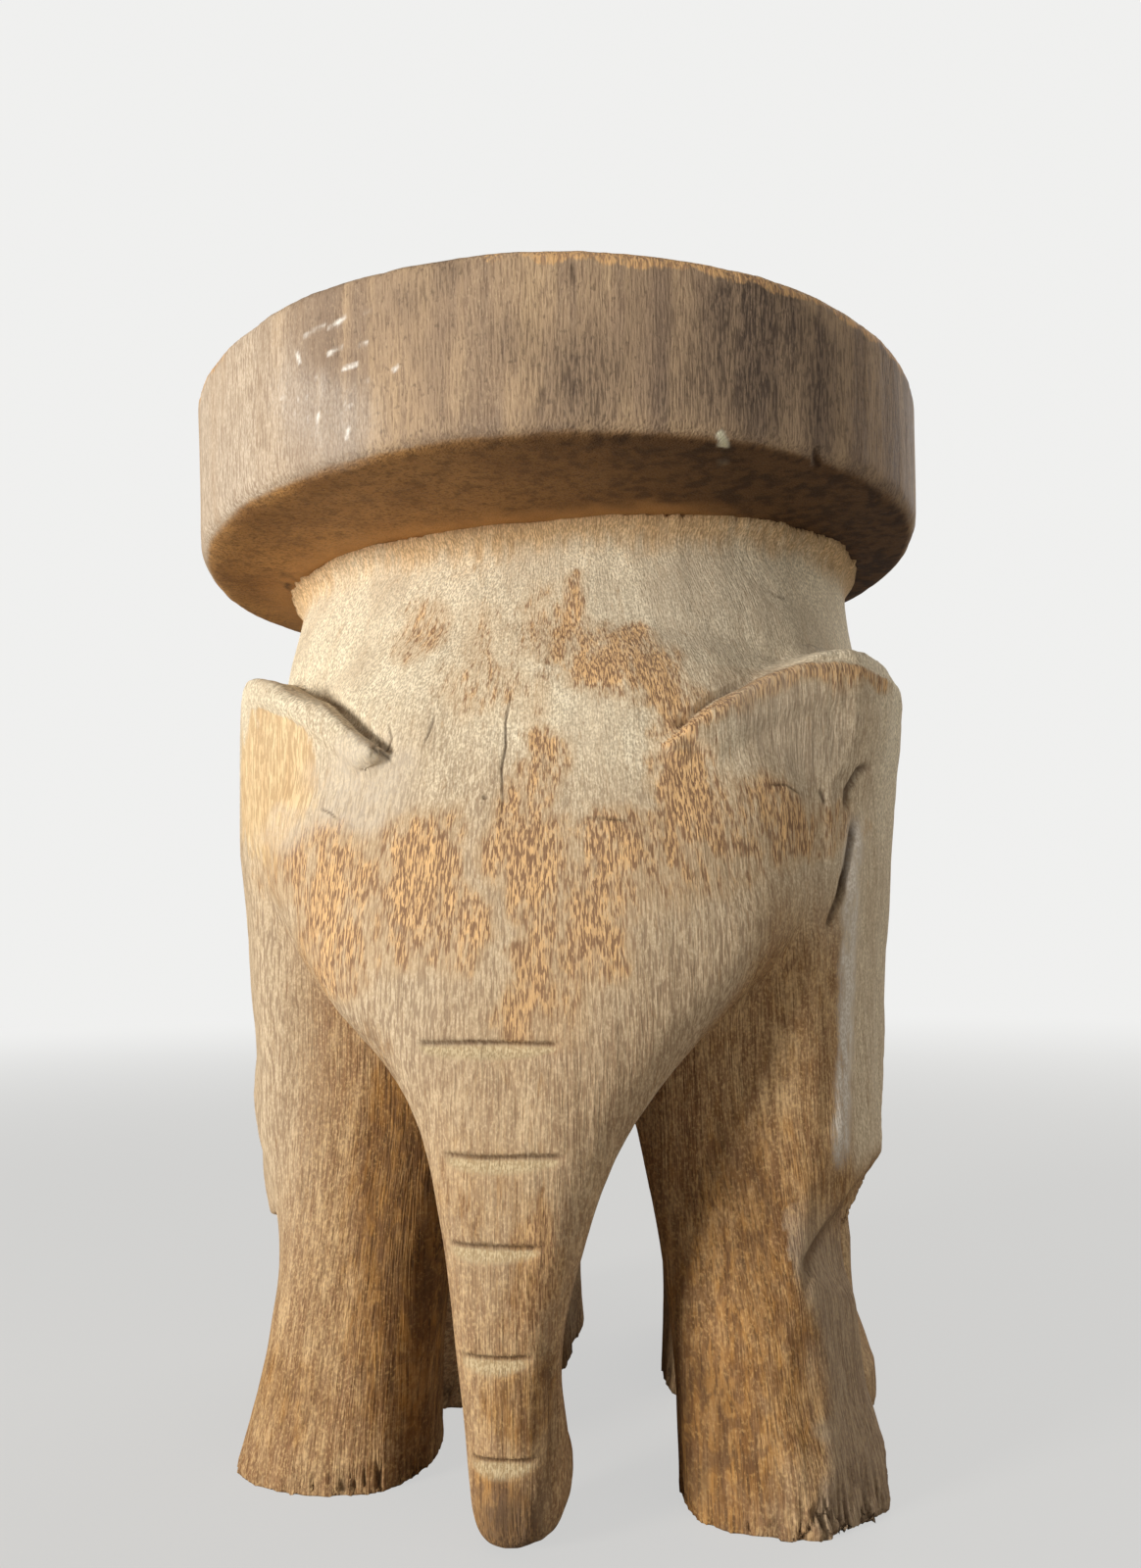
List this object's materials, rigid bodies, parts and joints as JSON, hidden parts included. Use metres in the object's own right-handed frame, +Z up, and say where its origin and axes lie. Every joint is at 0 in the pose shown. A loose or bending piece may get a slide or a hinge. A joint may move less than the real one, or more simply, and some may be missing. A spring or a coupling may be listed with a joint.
{
  "type": "carved elephant stool",
  "caption": "Low round wooden stool carved as a standing elephant: a thick disc seat on its neck, ears along its sides, trunk hanging to the floor between flared legs.",
  "frame": {"origin": "on the floor under the middle of the round seat", "axes": "+Z up through the seat, -Y is the way the elephant faces, +X is to the right when the elephant is seen from the front"},
  "size_m": [0.2346, 0.2346, 0.307],
  "materials": {
    "seat_wood": "worn dark wax over straight vertical grain, rubbed pale at the edges",
    "elephant_wood": "dusty worn stain over open-pored tropical hardwood, rubbed to bare orange wood on the high places",
    "dowel_wood": "plain unfinished dowel rod"
  },
  "bodies": {
    "root": {"seat": "seat_wood", "elephant": "elephant_wood", "dowel_1": "dowel_wood", "dowel_2": "dowel_wood", "dowel_3": "dowel_wood"}
  },
  "joints": []
}
